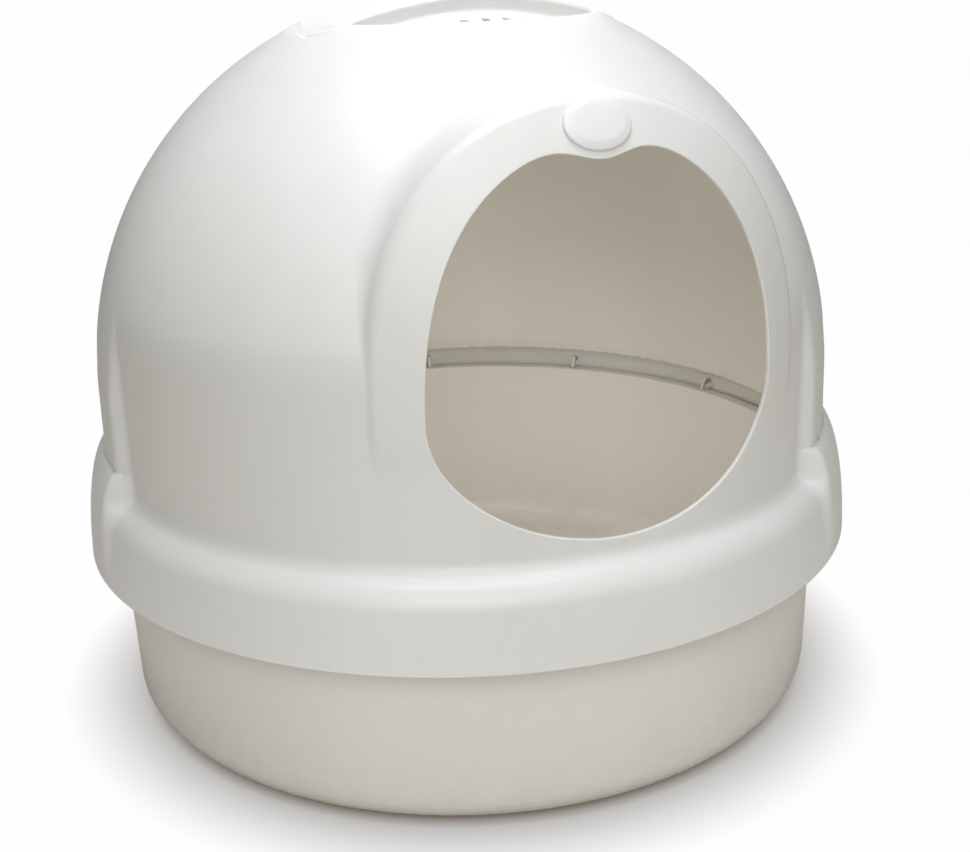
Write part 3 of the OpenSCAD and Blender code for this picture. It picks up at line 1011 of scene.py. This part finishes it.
class LITTERBOX_OT_hood(bpy.types.Operator):
    """Builds the domed hood with its collar, grips, facade, crown, seat ribs and filter socket"""
    bl_idname = "litter_box.hood"
    bl_label = "Hood"

    def execute(self, context):
        scene = context.scene
        form = HoodForm(scene)
        shell = hood_shell(form)
        self.filter_socket(scene, form, shell)
        self.seat_ribs(scene, form, shell)
        c = scene.litter_box_colours
        material = pearl_plastic("hood_plastic", c.hood, c.hood_dark)
        new_piece("domed_hood", shell.mesh("domed_hood"), material, "hood", "hood")
        return {"FINISHED"}

    def filter_socket(self, scene, form, shell):
        """The ring under the crown; its top runs into the hood's wall."""
        f, c = scene.litter_box_filter, scene.litter_box_crown
        inner, outer = f.socket_r, f.socket_r + f.socket_wall
        ceiling = math.sqrt((form.floor_r - form.hood.wall) ** 2 - outer ** 2)
        low = form.dome_z + ceiling - f.socket_h
        turns = 240
        around = circle(turns)
        heights = np.arange(low + 12 * MM, form.top_z, 0.25 * MM)
        edge = 0.7 * MM
        foot = [(inner, None), (inner, low + edge), (inner + 0.3 * edge, low + 0.3 * edge),
                (inner + edge, low), (outer - edge, low), (outer - 0.3 * edge, low + 0.3 * edge),
                (outer, low + edge), (outer, None)]
        rows = []
        for r, z in foot:
            x, y = r * np.cos(around), r * np.sin(around)
            if z is None:
                columns = np.stack(np.broadcast_arrays(x[:, None], y[:, None], heights), -1)
                deep = form(columns) > -form.hood.wall / 2
                z = heights[deep.argmax(1)]
            rows.append(np.stack(np.broadcast_arrays(x, y, z), -1))
        rows.insert(1, 0.5 * (rows[0] + rows[1]))
        rows.insert(-1, 0.5 * (rows[-1] + rows[-2]))
        first = shell.add(np.concatenate(rows), [])
        rings = [[first + k * turns + i for i in range(turns)] for k in range(len(rows))]
        for low_ring, high_ring in zip(rings, rings[1:] + rings[:1]):
            for i in range(turns):
                j = (i + 1) % turns
                shell.faces.append([low_ring[i], high_ring[i], high_ring[j], low_ring[j]])

    def seat_ribs(self, scene, form, shell):
        """Ribs inside the shoulder that rest on the pan's rim."""
        p = scene.litter_box_pan
        lip_r = form.shoulder_end[0] - form.hood.wall - p.rim_gap
        start_r = lip_r - p.rim_reach
        low = RIM_Z + p.seat_clear
        high = low + p.seat_h
        edge = 0.4 * MM
        heights = np.linspace(low, high, 5)
        for i in range(p.seat_count):
            turn = (i + 0.5) * 2 * math.pi / p.seat_count
            out = np.array((math.cos(turn), math.sin(turn), 0.0))
            aside = np.array((-math.sin(turn), math.cos(turn), 0.0))
            probe = out * (form.crease_r + 4 * MM) + np.outer(heights, (0, 0, 1))
            back = settle_along(lambda q: form(q) + form.hood.wall / 2, probe, out)
            back_r = back @ out
            front = rounded([(back_r[0], low, 0), (start_r, low, 1.2 * MM),
                             (start_r, low + 0.45 * p.seat_h, 2 * MM),
                             (start_r + 0.45 * p.seat_h, high, 2 * MM), (back_r[-1], high, 0)], 3)
            outline = np.concatenate([front, np.stack([back_r, heights], 1)[::-1][1:-1]])
            n = len(outline)
            middle = outline.mean(0)
            small = outline + unit(middle - outline) * edge
            rows = []
            for side, ring in ((-1, small), (-1, outline), (1, outline), (1, small)):
                off = side * (p.seat_t / 2 - (edge if ring is outline else 0))
                rows.append(ring[:, :1] * out + ring[:, 1:] * (0, 0, 1) + off * aside)
            first = shell.add(np.concatenate(rows), [])
            rings = [[first + k * n + i for i in range(n)] for k in range(4)]
            for a, b in zip(rings, rings[1:]):
                for k in range(n):
                    shell.faces.append([a[k - 1], a[k], b[k], b[k - 1]])
            shell.faces.append(rings[0])
            shell.faces.append(rings[3][::-1])


class LITTERBOX_OT_pan(bpy.types.Operator):
    """Turns the deep pan with its rolled rim and foot ring"""
    bl_idname = "litter_box.pan"
    bl_label = "Pan"

    def execute(self, context):
        scene = context.scene
        p, c = scene.litter_box_pan, scene.litter_box_colours
        form = HoodForm(scene)
        lip_r = form.shoulder_end[0] - form.hood.wall - p.rim_gap
        top_r = lip_r - p.rim_reach
        base_r = top_r - p.taper
        foot_r = base_r - p.base_round - p.foot_w
        wall_top = RIM_Z - p.rim_drop - 4 * MM
        outline = rounded([
            (0, p.foot_h, 0), (foot_r - 3 * p.foot_h, p.foot_h, 2 * MM), (foot_r, 0, 2 * MM),
            (base_r, 0, p.base_round), (top_r, wall_top, 1 * MM),
            (top_r, RIM_Z - p.rim_t, 1 * MM), (lip_r - p.rim_t, RIM_Z - p.rim_t, 1 * MM),
            (lip_r - p.rim_t, RIM_Z - p.rim_drop, 0.9 * MM), (lip_r, RIM_Z - p.rim_drop, 0.9 * MM),
            (lip_r, RIM_Z, p.rim_t), (top_r - p.wall, RIM_Z, 1.8 * MM),
            (top_r - p.wall, wall_top, 1 * MM), (base_r - p.wall, p.wall, p.base_round - p.wall),
            (foot_r, p.wall, 6 * MM), (foot_r - 4 * MM, p.wall + p.foot_h, 6 * MM),
            (0, p.wall + p.foot_h, 0)], 7)
        points, faces = lathe(spread(outline, 9 * MM), 288, False)
        mesh = smooth_mesh("deep_pan", points, faces, 60)
        material = pearl_plastic("pan_plastic", c.pan, c.pan_dark, dust=0.25)
        new_piece("deep_pan", mesh, material, "pan", "litter_pan")
        return {"FINISHED"}


class LITTERBOX_OT_name_plate(bpy.types.Operator):
    """Builds the blank oval name plate and its two staked pegs"""
    bl_idname = "litter_box.name_plate"
    bl_label = "Name plate"

    def execute(self, context):
        scene = context.scene
        p, c = scene.litter_box_plate, scene.litter_box_colours
        form = HoodForm(scene)
        z = form.facade_top - p.drop
        tilt = math.asin((z - form.facade_curve_z) / scene.litter_box_entry.facade_curve_r)
        out = np.array((0.0, -math.cos(tilt), math.sin(tilt)))
        side = np.array((1.0, 0.0, 0.0))
        up = np.cross(out, side) * -1
        middle = np.array((0.0, -float(form.facade_radius(np.array(z))), z))
        skin = form.facade_face
        turns = 144
        around = circle(turns)
        short = min(p.width, p.height) / 2
        profile = rounded([(0, p.thick, 0), (short - 5 * MM, p.thick - 0.15 * MM, 8 * MM),
                           (short, p.thick - 1.1 * MM, p.edge), (short, -2.4 * MM, 0)], 7)
        profile = spread(profile, 1.5 * MM)
        points, faces, rings = [], [], []
        for s, lift in profile[1:]:
            inset = short - s
            wide, tall = p.width / 2 - inset, p.height / 2 - inset
            wide, tall = max(wide, p.width / 2 * s / short), max(tall, p.height / 2 * s / short)
            ring = (middle + np.outer(np.cos(around) * wide, side)
                    + np.outer(np.sin(around) * tall, up))
            ring = settle_along(skin, ring, out) + lift * out
            rings.append(list(range(len(points), len(points) + turns)))
            points.extend(ring.tolist())
        hub = settle_along(skin, middle[None], out)[0] + profile[0][1] * out
        points.append(hub.tolist())
        for i in range(turns):
            j = (i + 1) % turns
            faces.append([len(points) - 1, rings[0][i], rings[0][j]])
            for a, b in zip(rings, rings[1:]):
                faces.append([a[i], b[i], b[j], a[j]])
        faces.append(rings[-1][::-1])
        wall = form.hood.wall
        head_r = p.peg_r * 1.5
        stake = rounded([(0, 1.4 * MM, 0), (head_r, 1.2 * MM, 1 * MM), (head_r, 0, 0.4 * MM),
                         (p.peg_r, 0, 0.2 * MM), (p.peg_r, -wall, 0), (0, -wall, 0)], 4)
        peg_points, peg_faces = lathe(stake, 32, False)
        for x in (-p.peg_gap / 2, p.peg_gap / 2):
            foot = settle_along(skin, middle[None] + x * side, out)[0] - wall * out
            first = len(points)
            placed = (foot + np.outer(peg_points[:, 0], side) + np.outer(peg_points[:, 1], up)
                      - np.outer(peg_points[:, 2], out))
            points.extend(placed.tolist())
            faces.extend([i + first for i in f] for f in peg_faces)
        mesh = smooth_mesh("name_plate", points, faces, 50)
        material = pearl_plastic("plate_plastic", c.plate, c.hood)
        new_piece("oval_name_plate", mesh, material, "hood", "name_plate")
        return {"FINISHED"}


def join_meshes(name, meshes):
    """One mesh out of several, with faces turned outward."""
    bm = bmesh.new()
    for mesh in meshes:
        bm.from_mesh(mesh)
        bpy.data.meshes.remove(mesh)
    bmesh.ops.remove_doubles(bm, verts=bm.verts, dist=1e-7)
    bmesh.ops.recalc_face_normals(bm, faces=bm.faces)
    joined = bpy.data.meshes.new(name)
    bm.to_mesh(joined)
    bm.free()
    joined.shade_smooth()
    joined.set_sharp_from_angle(angle=math.radians(40))
    return joined


class LITTERBOX_OT_filter_tray(bpy.types.Operator):
    """Builds the slotted filter tray with its flange, rim and two pull tabs"""
    bl_idname = "litter_box.filter_tray"
    bl_label = "Filter tray"

    def execute(self, context):
        scene = context.scene
        f = scene.litter_box_filter
        low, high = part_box("filter_tray")
        pad_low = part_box("filter_pad")[0].z
        flange_r = high.x
        rim_r = f.socket_r - TRAY_FIT
        in_r = rim_r - f.tray_wall
        grille_r = in_r - TRAY_BORDER
        around = circle(240)
        outlines = [np.stack([np.cos(around), np.sin(around)], 1) * flange_r]
        rows = math.floor(0.995 * grille_r / (0.9 * f.grille_pitch))
        bend = np.linspace(-math.pi / 2, math.pi / 2, 9)
        for i in range(-rows, rows + 1):
            y, r = i * f.grille_pitch, f.grille_w / 2
            reach = math.sqrt(grille_r ** 2 - (y * 0.9) ** 2)
            cap = np.stack([np.cos(bend), np.sin(bend)], 1) * r
            outlines.append(np.concatenate([cap + (reach - r, y), -cap + (r - reach, y)]))
        grille = slab(outlines, pad_low - f.tray_t / 2, f.tray_t, 0.6 * MM)
        ring = rounded([(rim_r, pad_low - 1 * MM, 0), (rim_r, high.z, 0.9 * MM),
                        (in_r, high.z, 0.9 * MM), (in_r, pad_low - 1 * MM, 0)], 4)
        points, faces = lathe(spread(ring, 5 * MM), 240, True)
        rim = bpy.data.meshes.new("rim")
        rim.from_pydata(points.tolist(), [], faces)
        parts = [grille, rim]
        tab_h = pad_low - f.tray_t - low.z
        for x in (-1, 1):
            wide, r = f.tab_w / 2, 5 * MM
            outline = rounded([(0, 0.5 * MM, 0), (-wide, 0.5 * MM, 0), (-wide, -tab_h, r),
                               (wide, -tab_h, r), (wide, 0.5 * MM, 0), (0, 0.5 * MM, 0)], 6)[1:-1]
            tab = slab([outline], 0, 3 * MM, 0.6 * MM)
            upright = (Matrix.Rotation(math.pi / 2, 4, "Z")
                       @ Matrix.Rotation(math.pi / 2, 4, "X"))
            place = Matrix.Translation((x * (in_r - 8 * MM), 0, pad_low - f.tray_t))
            tab.transform(place @ upright)
            parts.append(tab)
        mesh = join_meshes("slotted_filter_tray", parts)
        material = tray_plastic(scene.litter_box_colours.tray)
        new_piece("slotted_filter_tray", mesh, material, "filter", "filter_tray")
        return {"FINISHED"}


class LITTERBOX_OT_filter_pad(bpy.types.Operator):
    """Builds the round charcoal felt pad, soft-edged and a little uneven"""
    bl_idname = "litter_box.filter_pad"
    bl_label = "Filter pad"

    def execute(self, context):
        scene = context.scene
        c = scene.litter_box_colours
        low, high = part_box("filter_pad")
        r, thick = high.x - 0.3 * MM, high.z - low.z
        outline = rounded([(0, 0.1 * MM, 0), (r, 0.1 * MM, 2.2 * MM),
                           (r, thick - 0.9 * MM, 3.4 * MM), (0, thick - 0.3 * MM, 0)], 6)
        points, faces = lathe(spread(outline, 2 * MM), 220, False)
        x, y, z = points.T
        waves = (np.sin(47 * x + 3) * np.cos(61 * y - 1) + 0.5 * np.sin(131 * x + 97 * y)
                 + 0.3 * np.sin(311 * x - 269 * y + 2))
        up = np.clip(z / thick - 0.4, 0, 1)
        points[:, 2] -= up * 0.35 * MM * (1 + waves / 1.8)
        points[:, :2] *= (1 - 0.004 * (1 + np.sin(19 * np.arctan2(y, x) + 240 * z)) / 2)[:, None]
        points[:, 2] += low.z
        mesh = smooth_mesh("charcoal_felt_pad", points, faces, 80)
        piece = new_piece("charcoal_felt_pad", mesh, charcoal_felt(c.felt, c.felt_light),
                          "filter", "filter_pad")
        return {"FINISHED"}


def direction(azimuth, elevation):
    """Unit vector at an azimuth round from the front and an elevation, both in degrees."""
    a, e = math.radians(azimuth), math.radians(elevation)
    return Vector((math.sin(a) * math.cos(e), -math.cos(a) * math.cos(e), math.sin(e)))


class LITTERBOX_OT_studio(bpy.types.Operator):
    """Sets the plain pale floor, the soft lights and the camera"""
    bl_idname = "litter_box.studio"
    bl_label = "Studio"

    def execute(self, context):
        scene = context.scene
        scene.view_settings.view_transform = "Standard"
        form = HoodForm(scene)
        self.camera(scene, form)
        self.floor(scene)
        self.lights(scene, form)
        return {"FINISHED"}

    def camera(self, scene, form):
        data = bpy.data.cameras.new("camera")
        camera = bpy.data.objects.new("camera", data)
        scene.collection.objects.link(camera)
        away = direction(CAMERA_AZIMUTH, CAMERA_ELEVATION)
        camera.location = Vector((0, 0, form.dome_z)) + away * 4 * form.hood.dome_r
        level = (-away).to_track_quat("-Z", "Y").to_matrix().to_4x4()
        roll = Matrix.Rotation(math.radians(CAMERA_ROLL), 4, "Z")
        camera.rotation_euler = (level @ roll).to_euler()
        data.sensor_width = 36
        data.lens = CAMERA_LENS
        data.shift_x, data.shift_y = CAMERA_SHIFT
        scene.camera = camera

    def floor(self, scene):
        """A plain pale floor that the camera sees as glowing white, with a painted contact shadow
        where the part stands.
        """
        mesh = bpy.data.meshes.new("floor")
        size = 40.0
        corners = [(-size, -size, 0), (size, -size, 0), (size, size, 0), (-size, size, 0)]
        mesh.from_pydata(corners, [], [(0, 1, 2, 3)])
        floor = bpy.data.objects.new("floor", mesh)
        scene.collection.objects.link(floor)
        f = Finish("pale_floor")
        tone = f.mix(f.spread(f.noise(3.0, 2.0), 0.3, 0.7), (0.62, 0.57, 0.50), (0.64, 0.59, 0.52))
        f.link(tone, f.shader.inputs["Base Color"])
        f.shader.inputs["Roughness"].default_value = 0.9
        # painted contact shadow: ambient occlusion darkens the floor's camera-seen glow from white
        # to near black round the part
        shade = f.node("ShaderNodeAmbientOcclusion", Distance=0.062)
        shade.samples = 32
        painted_shadow_glow = f.mix(shade.outputs["AO"], (0.06, 0.03, 0.0), (0.99, 0.99, 0.99))
        sweep = f.node("ShaderNodeEmission")
        f.link(painted_shadow_glow, sweep.inputs["Color"])
        choice = f.node("ShaderNodeMixShader")
        f.link(f.node("ShaderNodeLightPath").outputs["Is Camera Ray"], choice.inputs[0])
        f.link(f.shader.outputs[0], choice.inputs[1])
        f.link(sweep.outputs[0], choice.inputs[2])
        out = next(n for n in f.material.node_tree.nodes if n.type == "OUTPUT_MATERIAL")
        f.link(choice.outputs[0], out.inputs["Surface"])
        mesh.materials.append(f.material)

    def lights(self, scene, form):
        world = bpy.data.worlds.new("studio")
        scene.world = world
        world.use_nodes = True
        tree = world.node_tree
        background = tree.nodes["Background"]
        background.inputs["Color"].default_value = (1.0, 0.92, 0.80, 1)
        background.inputs["Strength"].default_value = 0.07
        sweep = tree.nodes.new("ShaderNodeBackground")
        choice = tree.nodes.new("ShaderNodeMixShader")
        seen = tree.nodes.new("ShaderNodeLightPath")
        tree.links.new(seen.outputs["Is Camera Ray"], choice.inputs[0])
        tree.links.new(background.outputs[0], choice.inputs[1])
        tree.links.new(sweep.outputs[0], choice.inputs[2])
        tree.links.new(choice.outputs[0], tree.nodes["World Output"].inputs["Surface"])
        sweep.inputs["Color"].default_value = (0.98, 0.98, 0.98, 1)
        middle = Vector((0, 0, form.dome_z))
        for name, azimuth, elevation, distance, size, power in LAMPS:
            data = bpy.data.lights.new(name, "AREA")
            data.shape = "SQUARE"
            data.size = size
            data.energy = power
            data.color = LAMP_COLOUR
            lamp = bpy.data.objects.new(name, data)
            scene.collection.objects.link(lamp)
            away = direction(azimuth, elevation)
            lamp.location = middle + away * distance
            lamp.rotation_euler = (-away).to_track_quat("-Z", "Y").to_euler()
        data = bpy.data.lights.new("glow", "POINT")
        data.color = (1.0, 0.93, 0.80)
        data.energy = 0.50
        data.shadow_soft_size = 0.08
        lamp = bpy.data.objects.new("glow", data)
        lamp.location = middle - Vector((0, 0, 50 * MM))
        lamp.visible_camera = False
        scene.collection.objects.link(lamp)


OPERATORS = (LITTERBOX_OT_pan, LITTERBOX_OT_hood, LITTERBOX_OT_name_plate,
             LITTERBOX_OT_filter_tray, LITTERBOX_OT_filter_pad, LITTERBOX_OT_studio)


class LITTERBOX_PT_sidebar(bpy.types.Panel):
    """Sizes, colours and build buttons"""
    bl_idname = "LITTERBOX_PT_sidebar"
    bl_label = "Litter Box"
    bl_space_type = "VIEW_3D"
    bl_region_type = "UI"
    bl_category = "Litter Box"

    def draw(self, context):
        for operator in OPERATORS:
            self.layout.operator(operator.bl_idname)
        for attribute, group in GROUPS.items():
            box = self.layout.box()
            box.label(text=group.__doc__)
            for key in group.__annotations__:
                box.prop(getattr(context.scene, attribute), key)


def register():
    for attribute, group in GROUPS.items():
        bpy.utils.register_class(group)
        setattr(bpy.types.Scene, attribute, PointerProperty(type=group))
    for made in (*OPERATORS, LITTERBOX_PT_sidebar):
        bpy.utils.register_class(made)


def unregister():
    for made in (LITTERBOX_PT_sidebar, *reversed(OPERATORS)):
        bpy.utils.unregister_class(made)
    for attribute, group in GROUPS.items():
        delattr(bpy.types.Scene, attribute)
        bpy.utils.unregister_class(group)


def main():
    register()
    bpy.ops.litter_box.pan()
    bpy.ops.litter_box.hood()
    bpy.ops.litter_box.name_plate()
    bpy.ops.litter_box.filter_tray()
    bpy.ops.litter_box.filter_pad()
    bpy.ops.litter_box.studio()


if __name__ == "__main__":
    main()
